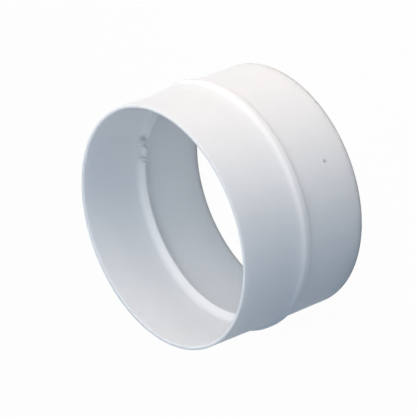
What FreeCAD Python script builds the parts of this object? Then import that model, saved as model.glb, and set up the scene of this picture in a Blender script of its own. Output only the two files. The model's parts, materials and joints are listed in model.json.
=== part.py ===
# Duct connector: one moulded ring that joins two round ducts end to end.
# The axis is +Z, the lower sleeve stands on z = 0, and sizes are in millimetres.
import FreeCAD, Part
import Sketcher
import math
import os

doc = FreeCAD.newDocument("duct_connector")
sheet = doc.addObject("Spreadsheet::Sheet", "sizes")

# Every size that can be changed by itself, with what it means.
SIZES = [
    ("duct_bore", 100.0, "inside diameter of the duct that slips over a sleeve"),
    ("slip_gap", 0.2, "radial clearance between the lower sleeve and that duct"),
    ("body_length", 59.2, "rim to rim"),
    ("root_draw", 0.2, "how much smaller the upper sleeve is at the collar, in radius"),
    ("rim_draw", 0.44, "further loss of radius from the collar up to the upper rim"),
    ("wall", 2.3, "wall of the lower sleeve"),
    ("lead_open", 0.3, "gain in bore radius at each rim"),
    ("upper_lead", 9.5, "length of the tapered mouth at the upper rim"),
    ("lower_lead", 7.5, "length of the tapered mouth at the lower rim"),
    ("rim_bevel", 0.2, "bevel on the four rim edges"),
    ("collar_mid", 29.2, "height of the middle of the outside stop collar"),
    ("collar_land", 2.2, "width of the collar's crest"),
    ("collar_rise", 1.3, "height of the crest above the lower sleeve"),
    ("collar_front", 34.0, "slope of the collar's upper side, degrees from the axis"),
    ("collar_back", 48.0, "slope of the collar's lower side, degrees from the axis"),
    ("collar_bevel", 0.4, "bevel on the crest's two edges"),
    ("front_blend", 5.0, "blend from the collar to the upper sleeve"),
    ("rib_mid", 30.0, "height of the middle of the inside stop rib"),
    ("rib_depth", 3.1, "how far the rib stands in from the bore"),
    ("rib_tip", 0.9, "width of the rib at its tip"),
    ("rib_draft", 24.0, "slope of the rib's sides, degrees from square"),
    ("tip_bevel", 0.25, "bevel on the rib's tip edges"),
    ("rib_blend", 1.8, "blend from the rib to the bore"),
    ("gate_turn", 46.2, "place of the gate notch around the ring, degrees"),
    ("gate_span", 15.0, "arc of rib that the notch takes away, degrees"),
    ("gate_left", 0.5, "height of rib left in the notch"),
    ("stub_turn", 47.2, "place of the gate stub around the ring, degrees"),
    ("stub_span", 5.0, "arc of the stub, degrees"),
    ("stub_depth", 3.0, "how far the stub stands in from the bore"),
    ("stub_thick", 1.8, "thickness of the stub along the axis"),
    ("flake_turn", 51.9, "place of the thin flake beside the stub, degrees"),
    ("flake_span", 1.1, "arc of the flake, degrees"),
    ("dimple_turn", 272.4, "place of the dimple on the lower sleeve, degrees"),
    ("dimple_up", 11.8, "height of the dimple"),
    ("dimple_radius", 0.6, "radius of the dimple's mouth"),
    ("dimple_depth", 0.5, "depth of the dimple"),
]

# Sizes that follow from them, so that each fit is stated once.
FOLLOWS = [
    ("sleeve_radius", "=duct_bore / 2 - slip_gap"),
    ("root_radius", "=sleeve_radius - root_draw"),
    ("rim_radius", "=root_radius - rim_draw"),
    ("bore_radius", "=sleeve_radius - wall"),
    ("mouth_radius", "=bore_radius + lead_open"),
    ("mid_wall", "=sleeve_radius - wall / 2"),
    ("upper_lead_end", "=body_length - upper_lead"),
    ("crest_radius", "=sleeve_radius + collar_rise"),
    ("crest_low", "=collar_mid - collar_land / 2"),
    ("crest_high", "=collar_mid + collar_land / 2"),
    ("back_foot", "=crest_low - collar_rise / tan(collar_back * 1 deg)"),
    ("front_fall", "=tan(collar_front * 1 deg)"),
    ("taper", "=rim_draw / (body_length - collar_mid)"),
    ("front_drop", "=crest_radius - root_radius + (crest_high - collar_mid) * taper"),
    ("front_run", "=front_drop / (front_fall - taper)"),
    ("front_foot", "=crest_high + front_run"),
    ("front_radius", "=crest_radius - front_run * front_fall"),
    ("tip_radius", "=bore_radius - rib_depth"),
    ("tip_low", "=rib_mid - rib_tip / 2"),
    ("tip_high", "=rib_mid + rib_tip / 2"),
    ("root_low", "=tip_low - rib_depth * tan(rib_draft * 1 deg)"),
    ("root_high", "=tip_high + rib_depth * tan(rib_draft * 1 deg)"),
    ("notch_inside", "=tip_radius - rib_tip"),
    ("notch_outside", "=bore_radius - gate_left"),
    ("notch_low", "=root_low - rib_blend"),
    ("notch_high", "=root_high + rib_blend"),
    ("stub_radius", "=bore_radius - stub_depth"),
    ("stub_low", "=rib_mid - stub_thick / 2"),
    ("stub_high", "=rib_mid + stub_thick / 2"),
    ("ball_radius", "=(dimple_radius ^ 2 + dimple_depth ^ 2) / (2 * dimple_depth)"),
    ("ball_centre", "=sleeve_radius - dimple_depth + ball_radius"),
]
for row, (alias, value, meaning) in enumerate(SIZES, start=1):
    sheet.set("A%d" % row, str(value))
    sheet.setAlias("A%d" % row, alias)
    sheet.set("B%d" % row, meaning)
for row, (alias, formula) in enumerate(FOLLOWS, start=len(SIZES) + 1):
    sheet.set("A%d" % row, formula)
    sheet.setAlias("A%d" % row, alias)
doc.recompute()

body = doc.addObject("PartDesign::Body", "duct_connector")
body.Label = "duct_connector"
doc.recompute()

FLOOR = "floor"
FULL_TURN = 360.0
TOUCH = 0.02


def size(alias):
    """The present value of one of the sheet's names."""
    return float(getattr(sheet, alias))


def section_sketch(name, turn=None, lift=None):
    """A sketch in a plane through the axis: its x is radius and its y is height."""
    plane = [item for item in body.Origin.OriginFeatures if item.Role == "XZ_Plane"][0]
    sketch = body.newObject("Sketcher::SketchObject", name)
    sketch.AttachmentSupport = [(plane, "")]
    sketch.MapMode = "FlatFace"
    if turn:
        upright = FreeCAD.Rotation(FreeCAD.Vector(0, 1, 0), size(turn))
        sketch.AttachmentOffset = FreeCAD.Placement(FreeCAD.Vector(0, 0, 0), upright)
        sketch.setExpression("AttachmentOffset.Rotation.Angle", "sizes." + turn)
    if lift:
        sketch.setExpression("AttachmentOffset.Base.y", "sizes." + lift)
    doc.recompute()
    return sketch


def drive(sketch, constraint, alias):
    """Add a constraint and tie its value to one of the sheet's names."""
    number = sketch.addConstraint(constraint)
    sketch.setExpression("Constraints[%d]" % number, "sizes." + alias)


def rounding(before, corner, after, radius):
    """The arc that rounds a corner, where it meets the two sides, and which way it turns."""
    back = (before - corner).normalize()
    ahead = (after - corner).normalize()
    half = back.getAngle(ahead) / 2
    reach = radius / math.tan(half)
    arrive = corner + back * reach
    leave = corner + ahead * reach
    centre = corner + (back + ahead).normalize() * (radius / math.sin(half))
    left = back.cross(ahead).z < 0
    first, last = (arrive, leave) if left else (leave, arrive)
    angles = [math.atan2(point.y - centre.y, point.x - centre.x) for point in (first, last)]
    arc = Part.ArcOfCircle(Part.Circle(centre, FreeCAD.Vector(0, 0, 1), radius), *angles)
    return arc, arrive, leave, left


def draw_outline(sketch, corners):
    """Draw a closed outline: each corner names its radius, its height and perhaps its rounding."""
    count = len(corners)
    sharp = []
    for radius, height, *round_name in corners:
        up = 0.0 if height == FLOOR else size(height)
        sharp.append(FreeCAD.Vector(size(radius), up, 0))
    arrivals = list(sharp)
    departures = list(sharp)
    arcs = {}
    for index, (radius, height, *round_name) in enumerate(corners):
        if round_name:
            after = sharp[(index + 1) % count]
            arc = rounding(sharp[index - 1], sharp[index], after, size(round_name[0]))
            arcs[index], arrivals[index], departures[index] = arc, arc[1], arc[2]
    for index in range(count):
        line = Part.LineSegment(departures[index], arrivals[(index + 1) % count])
        sketch.addGeometry(line, False)
    for index, (radius, height, *round_name) in enumerate(corners):
        before = (index - 1) % count
        pinned = index
        if round_name:
            arc, arrive, leave, left = arcs[index]
            curve = sketch.addGeometry(arc, False)
            pinned = sketch.addGeometry(Part.Point(sharp[index]), True)
            head, tail = (1, 2) if left else (2, 1)
            sketch.addConstraint(Sketcher.Constraint("Tangent", before, 2, curve, head))
            sketch.addConstraint(Sketcher.Constraint("Tangent", index, 1, curve, tail))
            sketch.addConstraint(Sketcher.Constraint("PointOnObject", pinned, 1, before))
            sketch.addConstraint(Sketcher.Constraint("PointOnObject", pinned, 1, index))
            drive(sketch, Sketcher.Constraint("Radius", curve, size(round_name[0])), round_name[0])
        else:
            sketch.addConstraint(Sketcher.Constraint("Coincident", before, 2, index, 1))
        across = Sketcher.Constraint("DistanceX", -1, 1, pinned, 1, sharp[index].x)
        drive(sketch, across, radius)
        if height == FLOOR:
            sketch.addConstraint(Sketcher.Constraint("PointOnObject", pinned, 1, -1))
        else:
            up = Sketcher.Constraint("DistanceY", -1, 1, pinned, 1, sharp[index].y)
            drive(sketch, up, height)
    doc.recompute()


def turn_profile(kind, name, sketch, axis="V_Axis", angle=None):
    """Revolve a sketch about one of its axes, all the way or by a named angle."""
    feature = body.newObject("PartDesign::" + kind, name)
    feature.Profile = sketch
    feature.ReferenceAxis = (sketch, [axis])
    feature.Angle = FULL_TURN
    if angle:
        feature.Midplane = True
        feature.setExpression("Angle", "sizes." + angle)
    sketch.Visibility = False
    doc.recompute()
    return feature


def bevel_rings(name, base, wanted, alias):
    """Chamfer each full-circle edge whose radius and height the test accepts."""
    picked = []
    for number, edge in enumerate(base.Shape.Edges, start=1):
        if edge.Curve.TypeId == "Part::GeomCircle":
            if wanted(edge.Curve.Radius, edge.Curve.Center.z):
                picked.append("Edge%d" % number)
    feature = body.newObject("PartDesign::Chamfer", name)
    feature.Base = (base, picked)
    feature.setExpression("Size", "sizes." + alias)
    doc.recompute()
    print(name, "eases", len(picked), "edges")
    return feature


def near(value, alias):
    """True where a measured value matches one of the sheet's names."""
    return math.isclose(value, size(alias), abs_tol=TOUCH)


# The wall in section, turned in one piece: up the outside from the lower rim, over the stop
# collar that the two ducts butt against, and down the inside past the drafted stop rib.
wall_sketch = section_sketch("wall_section")
draw_outline(wall_sketch, [
    ("sleeve_radius", FLOOR),
    ("sleeve_radius", "back_foot"),
    ("crest_radius", "crest_low"),
    ("crest_radius", "crest_high"),
    ("front_radius", "front_foot", "front_blend"),
    ("rim_radius", "body_length"),
    ("mouth_radius", "body_length"),
    ("bore_radius", "upper_lead_end"),
    ("bore_radius", "root_high", "rib_blend"),
    ("tip_radius", "tip_high"),
    ("tip_radius", "tip_low"),
    ("bore_radius", "root_low", "rib_blend"),
    ("bore_radius", "lower_lead"),
    ("mouth_radius", FLOOR),
])
ring = turn_profile("Revolution", "ring", wall_sketch)

# Bevels, taken while every edge is still a full circle.
crest = bevel_rings(
    "crest_bevels", ring,
    lambda radius, height: near(radius, "crest_radius"),
    "collar_bevel")
tips = bevel_rings(
    "rib_tip_bevels", crest,
    lambda radius, height: near(radius, "tip_radius"),
    "tip_bevel")
rims = bevel_rings(
    "rim_bevels", tips,
    lambda radius, height: near(height, "body_length") or abs(height) < TOUCH,
    "rim_bevel")

# The gate notch: a short arc of the rib is missing where the mould was filled.
notch_sketch = section_sketch("notch_section", "gate_turn")
draw_outline(notch_sketch, [
    ("notch_inside", "notch_low"),
    ("notch_outside", "notch_low"),
    ("notch_outside", "notch_high"),
    ("notch_inside", "notch_high"),
])
notch = turn_profile("Groove", "gate_notch", notch_sketch, angle="gate_span")
assert notch.Shape.Volume < rims.Shape.Volume

# What the broken gate left standing in the notch: a stub and a thin flake.
STUB_CORNERS = [
    ("stub_radius", "stub_low"),
    ("mid_wall", "stub_low"),
    ("mid_wall", "stub_high"),
    ("stub_radius", "stub_high"),
]
stub_sketch = section_sketch("stub_section", "stub_turn")
draw_outline(stub_sketch, STUB_CORNERS)
stub = turn_profile("Revolution", "gate_stub", stub_sketch, angle="stub_span")
flake_sketch = section_sketch("flake_section", "flake_turn")
draw_outline(flake_sketch, STUB_CORNERS)
flake = turn_profile("Revolution", "gate_flake", flake_sketch, angle="flake_span")
assert flake.Shape.Volume > stub.Shape.Volume > notch.Shape.Volume

# The small dimple on the lower sleeve, cut by a ball on a radial axis.
dimple_sketch = section_sketch("dimple_section", "dimple_turn", "dimple_up")
middle = FreeCAD.Vector(size("ball_centre"), 0, 0)
reach = FreeCAD.Vector(size("ball_radius"), 0, 0)
ball = Part.Circle(middle, FreeCAD.Vector(0, 0, 1), size("ball_radius"))
dimple_sketch.addGeometry(Part.ArcOfCircle(ball, 0, math.pi), False)
dimple_sketch.addGeometry(Part.LineSegment(middle - reach, middle + reach), False)
dimple_sketch.addConstraint(Sketcher.Constraint("Coincident", 0, 2, 1, 1))
dimple_sketch.addConstraint(Sketcher.Constraint("Coincident", 0, 1, 1, 2))
dimple_sketch.addConstraint(Sketcher.Constraint("PointOnObject", 1, 1, -1))
dimple_sketch.addConstraint(Sketcher.Constraint("PointOnObject", 1, 2, -1))
dimple_sketch.addConstraint(Sketcher.Constraint("PointOnObject", 0, 3, -1))
drive(dimple_sketch, Sketcher.Constraint("Radius", 0, size("ball_radius")), "ball_radius")
drive(dimple_sketch, Sketcher.Constraint("DistanceX", -1, 1, 0, 3, middle.x), "ball_centre")
doc.recompute()
dimple = turn_profile("Groove", "dimple", dimple_sketch, "H_Axis")
floor_point = dimple_sketch.Placement.multVec(middle - reach)
assert flake.Shape.isInside(floor_point * (1 + TOUCH / middle.x), TOUCH / 2, False)
assert not dimple.Shape.isInside(floor_point * (1 + TOUCH / middle.x), TOUCH / 2, False)

body.Tip = dimple
doc.recompute()

# Nothing is written unless every object is sound.
for item in doc.Objects:
    if "Invalid" in item.State or "Error" in item.State:
        raise RuntimeError("%s is %s" % (item.Name, item.State))
if body.Shape.isNull() or not body.Shape.isValid() or len(body.Shape.Solids) != 1:
    raise RuntimeError("the ring isn't one sound solid")
os.makedirs("parts", exist_ok=True)
body.Shape.exportStep("parts/duct_connector.step")

box = body.Shape.optimalBoundingBox()
print("across %.3f x %.3f mm, high %.3f mm" % (box.XLength, box.YLength, box.ZLength))
print("volume %.1f cubic mm" % body.Shape.Volume)
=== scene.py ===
# %% [markdown]
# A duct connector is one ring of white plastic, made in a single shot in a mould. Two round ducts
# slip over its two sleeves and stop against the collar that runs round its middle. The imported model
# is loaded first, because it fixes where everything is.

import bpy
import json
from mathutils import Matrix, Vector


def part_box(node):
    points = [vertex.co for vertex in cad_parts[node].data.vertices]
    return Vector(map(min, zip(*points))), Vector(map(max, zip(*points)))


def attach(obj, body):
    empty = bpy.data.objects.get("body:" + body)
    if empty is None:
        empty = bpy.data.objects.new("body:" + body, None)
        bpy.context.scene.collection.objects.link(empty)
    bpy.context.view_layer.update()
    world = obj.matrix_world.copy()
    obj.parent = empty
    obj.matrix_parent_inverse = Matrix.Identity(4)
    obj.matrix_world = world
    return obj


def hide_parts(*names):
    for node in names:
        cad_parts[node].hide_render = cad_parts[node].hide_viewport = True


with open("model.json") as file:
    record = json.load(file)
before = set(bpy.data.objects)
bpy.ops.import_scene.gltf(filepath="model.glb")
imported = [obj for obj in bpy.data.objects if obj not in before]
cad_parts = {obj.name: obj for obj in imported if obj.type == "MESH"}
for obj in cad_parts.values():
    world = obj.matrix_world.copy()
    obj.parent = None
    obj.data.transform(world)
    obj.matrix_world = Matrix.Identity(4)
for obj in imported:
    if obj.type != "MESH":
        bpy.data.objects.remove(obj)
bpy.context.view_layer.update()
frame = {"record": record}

# %% [markdown]
# The model is worked in millimetres, as on a drawing, and is scaled to metres when it is put into
# the scene. The sizes that matter to a fitter are read from the frame: the radius of the collar and
# the length come from the box, and the sleeve and the bore come from the places where other parts
# are fastened.

# %% Sizes from the frame
import json
import math

import bmesh
import bpy
from mathutils import Matrix, Quaternion, Vector

MM = 0.001
NODE = "duct_connector"

_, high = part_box(NODE)
fastenings = {mount["name"]: mount for mount in frame["record"]["mounts"]}


def wall_radius(name):
    """Radius of one of the round walls that the frame names, in millimetres."""
    return fastenings[name]["dims"]["r_mm"]


length = high[2] / MM
crest_radius = high[0] / MM
sleeve_radius = wall_radius("lower_sleeve")
bore_radius = wall_radius("lower_bore")
print("length %.2f, collar radius %.2f, sleeve radius %.2f, bore radius %.2f mm"
      % (length, crest_radius, sleeve_radius, bore_radius))

# %% [markdown]
# Everything on the ring follows from one section through its wall. The outside climbs from the
# lower rim to the collar, falls from the crest in a short ramp that fades out along the sleeve, and
# leans in a little towards the upper rim, so that the second duct starts easily. The inside opens
# slightly at both mouths and carries a thin stop rib. Each corner is given with the length of each
# side that its rounding takes up. The upper mouth's edge is the roundest of the rims, as the photo
# shows hardly any flat rim there.

# %% The corners of the wall's section
collar_middle = 29.2
collar_land = 2.2
ramp_slope = math.radians(38)
ramp_run = 1.5
fade_end = 35.5
back_slope = math.radians(48)
upper_step = 0.2
upper_draw = 0.44
mouth_opening = 0.3
upper_mouth_run = 9.5
lower_mouth_run = 7.5
rib_middle = 30.0
rib_depth = 3.1
rib_tip = 0.9
rib_draft = math.radians(24)
rim_round = 0.2
upper_mouth_round = 0.5
back_root_round = 0.15
crest_low_round = 0.2
crest_high_round = 0.3
ramp_round = 0.7
fade_round = 2.0
taper_round = 0.2
rib_root_round = 1.17
rib_tip_round = 0.3

upper_root_radius = sleeve_radius - upper_step
upper_rim_radius = upper_root_radius - upper_draw
mouth_radius = bore_radius + mouth_opening
crest_low = collar_middle - collar_land / 2
crest_high = collar_middle + collar_land / 2
lean = (upper_root_radius - upper_rim_radius) / (length - collar_middle)
fade_radius = upper_root_radius - (fade_end - collar_middle) * lean
back_run = (crest_radius - sleeve_radius) / math.tan(back_slope)
break_radius = crest_radius - ramp_run * math.tan(ramp_slope)
rib_tip_radius = bore_radius - rib_depth
rib_flare = rib_depth * math.tan(rib_draft)

section_corners = [
    # radius, height, rounding, steps
    (sleeve_radius, 0.0, rim_round, 4),
    (sleeve_radius, crest_low - back_run, back_root_round, 3),
    (crest_radius, crest_low, crest_low_round, 3),
    (crest_radius, crest_high, crest_high_round, 4),
    (break_radius, crest_high + ramp_run, ramp_round, 6),
    (fade_radius, fade_end, fade_round, 5),
    (upper_rim_radius, length, rim_round, 4),
    (mouth_radius, length, upper_mouth_round, 6),
    (bore_radius, length - upper_mouth_run, taper_round, 2),
    (bore_radius, rib_middle + rib_tip / 2 + rib_flare, rib_root_round, 8),
    (rib_tip_radius, rib_middle + rib_tip / 2, rib_tip_round, 5),
    (rib_tip_radius, rib_middle - rib_tip / 2, rib_tip_round, 5),
    (bore_radius, rib_middle - rib_tip / 2 - rib_flare, rib_root_round, 8),
    (bore_radius, lower_mouth_run, taper_round, 2),
    (mouth_radius, 0.0, rim_round, 4),
]
print(len(section_corners), "corners in the wall's section")

# %% [markdown]
# The section could be written out point by point with its round corners. It is easier to place the
# sharp corners as one flat face and to let a vertex bevel round each of them, because the bevel
# finds the tangent points itself. The long straight runs are then cut into short steps, so that the
# smooth shading of a rounded edge stays at that edge and doesn't spread along the wall.

# %% Draw the section and round its corners
wall_step = 1.5

ring = bmesh.new()
sharp = [ring.verts.new((radius, 0.0, height)) for radius, height, *_ in section_corners]
ring.faces.new(sharp)
for vertex, (*_, rounding, steps) in zip(sharp, section_corners):
    bmesh.ops.bevel(
        ring, geom=[vertex], offset=rounding, offset_type="OFFSET", affect="VERTICES",
        segments=steps, profile=0.5, material=-1)
for edge in [edge for edge in ring.edges if edge.calc_length() > 2 * wall_step]:
    bmesh.ops.subdivide_edges(ring, edges=[edge], cuts=int(edge.calc_length() / wall_step))
bmesh.ops.delete(ring, geom=ring.faces[:], context="FACES_ONLY")
print("section of", len(ring.verts), "points")

# %% [markdown]
# A full turn about the axis makes the ring. The spin merges its last column of faces with its
# first, so no seam is left. The columns are one degree wide, and the ring is then turned so that a
# column starts exactly where the gap in the inside rib begins.

# %% Spin the section into a ring
columns = 360
gate_middle = 46.2
gate_span = 15.0
gate_start = gate_middle - gate_span / 2
gate_end = gate_middle + gate_span / 2
column_turn = math.radians(gate_start % (360 / columns))

bmesh.ops.spin(
    ring, geom=ring.verts[:] + ring.edges[:], cent=(0, 0, 0), axis=(0, 0, 1),
    angle=math.tau, steps=columns, use_merge=True)
bmesh.ops.remove_doubles(ring, verts=ring.verts[:], dist=0.001)
bmesh.ops.rotate(
    ring, verts=ring.verts[:], cent=(0, 0, 0), matrix=Matrix.Rotation(column_turn, 3, "Z"))
bmesh.ops.recalc_face_normals(ring, faces=ring.faces[:])
print("ring of", len(ring.faces), "faces, volume %.1f cubic cm" % (ring.calc_volume() / 1000))

# %% [markdown]
# On the inside, the rib is interrupted where the plastic entered the mould. A boolean cut would
# leave ragged faces on the curved rib, so the rib's own points are pushed back towards the wall
# instead, over the fifteen columns of the gap. The first and the last of them become the gap's
# steep sides.

# %% Push the rib back at the gate
rib_left = 0.5
touch = 0.02


def polar_place(vertex):
    """Turn around the axis in degrees, and distance from the axis."""
    turn = math.degrees(math.atan2(vertex.co.y, vertex.co.x)) % 360
    return turn, math.hypot(vertex.co.x, vertex.co.y)


pushed = 0
for vertex in ring.verts:
    turn, radius = polar_place(vertex)
    on_rib = radius < bore_radius - touch
    if on_rib and gate_start + touch < turn < gate_end - touch:
        set_back = bore_radius - (bore_radius - radius) * rib_left / rib_depth
        vertex.co.xy *= set_back / radius
        pushed += 1
print(pushed, "points of the rib pushed back at the gate")

# %% [markdown]
# What broke off at the gate left a short stub and, beside it, a thin flake. Both are small blocks
# that follow the curve of the wall. Each starts as a rectangle of four edges, which a short spin
# drags along the arc into a tube. The tube's two ends are filled, and a bevel takes the edge off.
# The blocks are gathered apart from the ring and joined to it later.

# %% The stub and the flake in the gap
wall_middle_radius = (sleeve_radius + bore_radius) / 2
block_reach = 3.0
block_thickness = 1.8
hard_angle = math.radians(30)
ease_steps = 3
gate_blocks = bmesh.new()


def add_gate_block(title, middle, span, ease, steps):
    """Add a block that stands in from the wall over a short arc, in degrees."""
    block = bmesh.new()
    outline = [
        (bore_radius - block_reach, rib_middle - block_thickness / 2),
        (wall_middle_radius, rib_middle - block_thickness / 2),
        (wall_middle_radius, rib_middle + block_thickness / 2),
        (bore_radius - block_reach, rib_middle + block_thickness / 2),
    ]
    corners = [block.verts.new((radius, 0.0, height)) for radius, height in outline]
    sides = [block.edges.new((corners[i - 1], corners[i])) for i in range(len(corners))]
    bmesh.ops.spin(
        block, geom=corners + sides, cent=(0, 0, 0), axis=(0, 0, 1),
        angle=math.radians(span), steps=steps)
    bmesh.ops.holes_fill(block, edges=block.edges[:], sides=4)
    start = math.radians(middle - span / 2)
    bmesh.ops.rotate(
        block, verts=block.verts[:], cent=(0, 0, 0), matrix=Matrix.Rotation(start, 3, "Z"))
    bmesh.ops.recalc_face_normals(block, faces=block.faces[:])
    hard = [edge for edge in block.edges if edge.calc_face_angle(0.0) > hard_angle]
    bmesh.ops.bevel(
        block, geom=hard, offset=ease, offset_type="OFFSET", affect="EDGES",
        segments=ease_steps, profile=0.5, material=-1)
    shell = bpy.data.meshes.new(title)
    block.to_mesh(shell)
    gate_blocks.from_mesh(shell)
    print(title, "of", len(block.faces), "faces, %.2f cubic mm" % block.calc_volume())
    block.free()
    bpy.data.meshes.remove(shell)


add_gate_block("gate_stub", middle=47.2, span=5.0, ease=0.3, steps=8)
add_gate_block("gate_flake", middle=51.9, span=1.1, ease=0.15, steps=3)

# %% [markdown]
# A small dimple sits on the lower sleeve, where a pin of the mould stood. It is far smaller than
# the faces of the wall there, so those few faces are first divided into a fine grid. The grid's
# points inside the dimple's mouth are then sunk along the radius, deepest in the middle.

# %% The dimple on the lower sleeve
dimple_turn = math.radians(272.4)
dimple_height = 11.8
dimple_radius = 0.6
dimple_depth = 0.5
patch_reach = 2.0
patch_cuts = 9

out = Vector((math.cos(dimple_turn), math.sin(dimple_turn), 0.0))
dimple_middle = out * sleeve_radius + Vector((0.0, 0.0, dimple_height))
patch = [
    face for face in ring.faces
    if (face.calc_center_median() - dimple_middle).length < patch_reach]
patch_edges = list({edge for face in patch for edge in face.edges})
bmesh.ops.subdivide_edges(ring, edges=patch_edges, cuts=patch_cuts, use_grid_fill=True)
sunk = 0
for vertex in ring.verts:
    away = (vertex.co - dimple_middle).length / dimple_radius
    if away < 1.0:
        vertex.co -= out * dimple_depth * (1.0 - away ** 2)
        sunk += 1
print(sunk, "points sunk for the dimple")

# %% [markdown]
# The stub and the flake are one with the ring on the real part. If their blocks only stood in the
# wall, the faces inside it would stop the light that wanders through the plastic and leave a dark
# outline. A union takes those faces away. Each shape is first scaled to metres in its mesh, so that
# its object stays at the origin, unturned and unscaled.

# %% Unite the ring with its gate marks
sharp_angle = math.radians(40)


def new_object(title, shape):
    """Put a finished bmesh into the scene, in metres and with smooth faces."""
    bmesh.ops.scale(shape, vec=(MM, MM, MM), verts=shape.verts[:])
    for face in shape.faces:
        face.smooth = True
    mesh = bpy.data.meshes.new(title)
    shape.to_mesh(mesh)
    shape.free()
    body = bpy.data.objects.new(title, mesh)
    bpy.context.scene.collection.objects.link(body)
    return body


moulded_ring = new_object("moulded_ring", ring)
gate_marks = new_object("gate_marks", gate_blocks)
union = moulded_ring.modifiers.new("union", "BOOLEAN")
union.operation = "UNION"
union.solver = "EXACT"
union.object = gate_marks
whole = moulded_ring.evaluated_get(bpy.context.evaluated_depsgraph_get())
ring_mesh = bpy.data.meshes.new_from_object(whole)
moulded_ring.modifiers.remove(union)
moulded_ring.data = ring_mesh
bpy.data.objects.remove(gate_marks)
ring_mesh.set_sharp_from_angle(angle=sharp_angle)
ring_mesh.name = "moulded_ring_mesh"
edge_faces = {}
for face in ring_mesh.polygons:
    for key in face.edge_keys:
        edge_faces[key] = edge_faces.get(key, 0) + 1
print("edges with other than two faces:", sum(count != 2 for count in edge_faces.values()))

# %% [markdown]
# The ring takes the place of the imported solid, which stays behind for collision, and rides on the
# one body that a part without joints has.

# %% Hand the ring to the frame
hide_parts(NODE)
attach(moulded_ring, "root")
print("moulded ring of", sum(len(face.vertices) - 2 for face in ring_mesh.polygons), "triangles")

# %% [markdown]
# The plastic is a cool white with a satin skin. It is slightly translucent, so light wanders
# through the thin wall and the shaded inside still glows. A plain white shader would look like
# paper, so three soft patterns break it up: broad clouds in the tone, fine streaks along the axis
# where the ring slid off the mould's core, and a fine grain in the skin. Painted shade, a darker grey
# laid into the colour, darkens the dimple and the corner of the gap, where the translucent wall
# washes out the shade that these hollows hold. All of them read the ring's own coordinates.

# %% Helpers for the plastic's nodes
# The grey of the painted shade in the dimple and in the gap's corner.
painted_shade_colour = (0.40, 0.41, 0.42, 1)


def add_node(tree, kind, place, **settings):
    """Add a node at a place on the board and set its plain properties."""
    node = tree.nodes.new(kind)
    node.location = place
    for name, value in settings.items():
        setattr(node, name, value)
    return node


def noise(tree, coordinates, stretch, scale, detail, place):
    """A noise on the ring's own coordinates, stretched along the axes."""
    mapping = add_node(tree, "ShaderNodeMapping", (place[0] - 200, place[1]))
    mapping.inputs["Scale"].default_value = stretch
    cloud = add_node(tree, "ShaderNodeTexNoise", place)
    cloud.inputs["Scale"].default_value = scale
    cloud.inputs["Detail"].default_value = detail
    tree.links.new(coordinates, mapping.inputs["Vector"])
    tree.links.new(mapping.outputs["Vector"], cloud.inputs["Vector"])
    return cloud.outputs["Fac"]


def painted_shade_spot(tree, coordinates, under, middle, reach, amount, place):
    """A soft spot of painted shade, of a given reach in metres, laid over a colour."""
    away = add_node(tree, "ShaderNodeVectorMath", place, operation="DISTANCE")
    away.inputs[1].default_value = middle
    fade = add_node(tree, "ShaderNodeMapRange", (place[0] + 200, place[1]))
    fade.interpolation_type = "SMOOTHSTEP"
    fade.inputs["From Min"].default_value = 0.0
    fade.inputs["From Max"].default_value = reach
    fade.inputs["To Min"].default_value = amount
    fade.inputs["To Max"].default_value = 0.0
    spot = add_node(tree, "ShaderNodeMix", (place[0] + 400, place[1]), data_type="RGBA")
    spot.inputs["B"].default_value = painted_shade_colour
    tree.links.new(coordinates, away.inputs[0])
    tree.links.new(away.outputs["Value"], fade.inputs["Value"])
    tree.links.new(fade.outputs["Result"], spot.inputs["Factor"])
    tree.links.new(under, spot.inputs["A"])
    return spot.outputs["Result"]


# %% The satin white plastic
# The middle of the painted shadow in the corner of the gap, where the rib's end shades the bore wall.
gate_corner_turn = math.radians(39.6)
gate_corner_radius = 46.6
gate_corner_height = 30.3
gate_corner = Vector((
    gate_corner_radius * math.cos(gate_corner_turn),
    gate_corner_radius * math.sin(gate_corner_turn),
    gate_corner_height))


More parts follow.
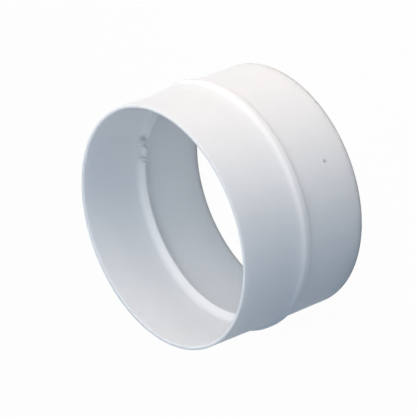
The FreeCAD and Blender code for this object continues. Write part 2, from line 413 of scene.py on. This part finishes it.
def white_plastic():
    """Cool white moulded plastic with a satin skin."""
    material = bpy.data.materials.new("white_plastic")
    material.use_nodes = True
    tree = material.node_tree
    tree.nodes.clear()
    output = add_node(tree, "ShaderNodeOutputMaterial", (900, 0))
    skin = add_node(tree, "ShaderNodeBsdfPrincipled", (600, 0))
    skin.inputs["IOR"].default_value = 1.53
    skin.inputs["Specular IOR Level"].default_value = 0.12
    skin.inputs["Subsurface Weight"].default_value = 1.0
    skin.inputs["Subsurface Radius"].default_value = (1.0, 1.0, 1.0)
    skin.inputs["Subsurface Scale"].default_value = 0.004
    coordinates = add_node(tree, "ShaderNodeTexCoord", (-900, 0)).outputs["Object"]

    clouds = noise(
        tree, coordinates, stretch=(1, 1, 1), scale=45, detail=3, place=(-400, 300))
    tone = add_node(tree, "ShaderNodeValToRGB", (0, 300))
    tone.color_ramp.elements[0].position = 0.3
    tone.color_ramp.elements[0].color = (0.825, 0.832, 0.840, 1)
    tone.color_ramp.elements[1].position = 0.7
    tone.color_ramp.elements[1].color = (0.855, 0.860, 0.866, 1)
    tree.links.new(clouds, tone.inputs["Fac"])
    # Painted shade: the dimple's hollow is darkened in the colour.
    colour = painted_shade_spot(
        tree, coordinates, tone.outputs["Color"], middle=dimple_middle * MM,
        reach=0.0011, amount=1.0, place=(0, 600))
    # Painted shadow: the corner of the gap, in the rib end's shadow, is darkened in the colour.
    colour = painted_shade_spot(
        tree, coordinates, colour, middle=gate_corner * MM,
        reach=0.0036, amount=0.55, place=(0, 900))
    tree.links.new(colour, skin.inputs["Base Color"])

    streaks = noise(
        tree, coordinates, stretch=(1, 1, 0.04), scale=700, detail=4, place=(-400, 0))
    sheen = add_node(tree, "ShaderNodeMapRange", (0, 0))
    sheen.inputs["To Min"].default_value = 0.42
    sheen.inputs["To Max"].default_value = 0.54
    tree.links.new(streaks, sheen.inputs["Value"])
    tree.links.new(sheen.outputs["Result"], skin.inputs["Roughness"])

    grain = noise(
        tree, coordinates, stretch=(1, 1, 1), scale=1100, detail=2, place=(-400, -300))
    skin_bump = add_node(tree, "ShaderNodeBump", (0, -300))
    skin_bump.inputs["Strength"].default_value = 0.03
    skin_bump.inputs["Distance"].default_value = 0.00012
    streak_bump = add_node(tree, "ShaderNodeBump", (250, -300))
    streak_bump.inputs["Strength"].default_value = 0.03
    streak_bump.inputs["Distance"].default_value = 0.0001
    tree.links.new(grain, skin_bump.inputs["Height"])
    tree.links.new(streaks, streak_bump.inputs["Height"])
    tree.links.new(skin_bump.outputs["Normal"], streak_bump.inputs["Normal"])
    tree.links.new(streak_bump.outputs["Normal"], skin.inputs["Normal"])
    tree.links.new(skin.outputs["BSDF"], output.inputs["Surface"])
    return material


ring_mesh.materials.append(white_plastic())
print("plastic:", [material.name for material in ring_mesh.materials])

# %% [markdown]
# The ring stands on a pale floor that runs out to a white background. The camera sees the floor as
# nearly white, but a share of its plain shading stays in the mix, so the ring's own shadow is kept.
# Light that bounces off the floor comes from the plain pale surface alone.

# %% The pale floor
floor_span = 6.0
floor_glow = 0.97
floor_tone = (0.62, 0.62, 0.62, 1)


def seen_rays(tree, place):
    """One for rays from the camera, a reflection or a clear surface, zero for the rest."""
    path = add_node(tree, "ShaderNodeLightPath", place)
    first = add_node(tree, "ShaderNodeMath", (place[0] + 200, place[1]), operation="MAXIMUM")
    second = add_node(tree, "ShaderNodeMath", (place[0] + 400, place[1]), operation="MAXIMUM")
    tree.links.new(path.outputs["Is Camera Ray"], first.inputs[0])
    tree.links.new(path.outputs["Is Glossy Ray"], first.inputs[1])
    tree.links.new(first.outputs[0], second.inputs[0])
    tree.links.new(path.outputs["Is Transmission Ray"], second.inputs[1])
    return second.outputs[0]


def pale_floor_finish():
    """Pale floor that looks white to the camera and keeps a soft shadow."""
    material = bpy.data.materials.new("pale_floor")
    material.use_nodes = True
    tree = material.node_tree
    tree.nodes.clear()
    output = add_node(tree, "ShaderNodeOutputMaterial", (900, 0))
    matt = add_node(tree, "ShaderNodeBsdfDiffuse", (200, 100))
    matt.inputs["Color"].default_value = floor_tone
    glow = add_node(tree, "ShaderNodeEmission", (200, -100))
    glow.inputs["Strength"].default_value = 1.0
    share = add_node(tree, "ShaderNodeMath", (200, 300), operation="MULTIPLY")
    share.inputs[1].default_value = floor_glow
    mix = add_node(tree, "ShaderNodeMixShader", (600, 0))
    tree.links.new(seen_rays(tree, (-500, 300)), share.inputs[0])
    tree.links.new(share.outputs[0], mix.inputs["Fac"])
    tree.links.new(matt.outputs["BSDF"], mix.inputs[1])
    tree.links.new(glow.outputs["Emission"], mix.inputs[2])
    tree.links.new(mix.outputs["Shader"], output.inputs["Surface"])
    return material


floor_shape = bmesh.new()
bmesh.ops.create_grid(floor_shape, x_segments=1, y_segments=1, size=floor_span / 2)
floor_mesh = bpy.data.meshes.new("floor")
floor_shape.to_mesh(floor_mesh)
floor_shape.free()
floor_mesh.materials.append(pale_floor_finish())
floor = bpy.data.objects.new("floor", floor_mesh)
bpy.context.scene.collection.objects.link(floor)
print("floor of %.1f m" % floor_span)

# %% [markdown]
# The light is that of a plain studio. A faint cool fill comes from all round, and it tints the
# shadows blue as in the photograph. The fill is the world's own colour. Rays that look straight at
# the world see white instead.

# %% The cool fill and the white background
fill_colour = (0.28, 0.61, 1.0, 1)
fill_strength = 0.22


def studio_world():
    """White to the rays that see it, a faint cool fill to all others."""
    world = bpy.data.worlds.new("studio")
    world.use_nodes = True
    tree = world.node_tree
    tree.nodes.clear()
    output = add_node(tree, "ShaderNodeOutputWorld", (900, 0))
    fill = add_node(tree, "ShaderNodeBackground", (300, 100))
    fill.inputs["Color"].default_value = fill_colour
    fill.inputs["Strength"].default_value = fill_strength
    white = add_node(tree, "ShaderNodeBackground", (300, -100))
    white.inputs["Color"].default_value = (1, 1, 1, 1)
    white.inputs["Strength"].default_value = 1.0
    mix = add_node(tree, "ShaderNodeMixShader", (600, 0))
    tree.links.new(seen_rays(tree, (-300, 300)), mix.inputs["Fac"])
    tree.links.new(fill.outputs["Background"], mix.inputs[1])
    tree.links.new(white.outputs["Background"], mix.inputs[2])
    tree.links.new(mix.outputs["Shader"], output.inputs["Surface"])
    return world


bpy.context.scene.world = studio_world()
bpy.context.scene.view_settings.view_transform = "Standard"
print("fill of strength", fill_strength)

# %% [markdown]
# Three soft boxes light the ring. A warm one stands low at the side and draws the bright flank, and
# a large one hangs high at the front and reaches into the mouth. A weak cool one stands behind: it
# shines on the hidden flank, and the wall lets some of that light through to the inside.

# %% The soft boxes
ring_middle = Vector((0.0, 0.0, length / 2 * MM))
lamp_distance = 0.9


def from_ring(turn, rise, distance):
    """A point that lies at a turn and a rise, in degrees, as seen from the ring's middle."""
    turn, rise = math.radians(turn), math.radians(rise)
    level = math.cos(rise)
    toward = Vector((level * math.cos(turn), level * math.sin(turn), math.sin(rise)))
    return ring_middle + distance * toward


def soft_box(title, turn, rise, width, power, colour):
    """A square lamp that faces the ring."""
    lamp = bpy.data.lights.new(title, "AREA")
    lamp.shape = "SQUARE"
    lamp.size = width
    lamp.energy = power
    lamp.color = colour
    lamp_object = bpy.data.objects.new(title, lamp)
    lamp_object.location = from_ring(turn, rise, lamp_distance)
    lamp_object.rotation_mode = "QUATERNION"
    lamp_object.rotation_quaternion = (lamp_object.location - ring_middle).to_track_quat("Z", "Y")
    bpy.context.scene.collection.objects.link(lamp_object)
    print(title, "at", [round(value, 3) for value in lamp_object.location], "of", power, "W")


soft_box("side_soft_box", turn=333, rise=10, width=0.8, power=6.7, colour=(1.0, 0.825, 0.68))
soft_box("high_soft_box", turn=308, rise=58, width=1.1, power=6.8, colour=(1.0, 0.99, 0.98))
soft_box("back_soft_box", turn=58, rise=15, width=0.8, power=2.0, colour=(0.64, 0.83, 1.0))

# %% [markdown]
# The picture looks down on the ring from a little above, with a long lens, and the camera is rolled
# far over on its side: what is up in the picture lies level on the floor. The aim, the angles and
# the lens were found by laying the ring's circles over the ones in the photograph.

# %% The camera
sensor_width = 36.0
camera_turn = -89.66
camera_rise = 35.59
camera_roll = 110.9
camera_distance = 0.949
camera_aim = Vector((0.6, 2.3, 32.9)) * MM
camera_lens = 209.9

lens = bpy.data.cameras.new("camera")
lens.sensor_width = sensor_width
lens.lens = camera_lens
camera = bpy.data.objects.new("camera", lens)
away = from_ring(camera_turn, camera_rise, 1.0) - ring_middle
camera.location = camera_aim + away * camera_distance
camera.rotation_mode = "QUATERNION"
level_view = away.to_track_quat("Z", "Y")
camera.rotation_quaternion = level_view @ Quaternion((0, 0, 1), -math.radians(camera_roll))
bpy.context.scene.collection.objects.link(camera)
bpy.context.scene.camera = camera
print("camera at", [round(value, 3) for value in camera.location])

# %% [markdown]
# At the end the view layer is brought up to date.

# %% Finish
bpy.context.view_layer.update()
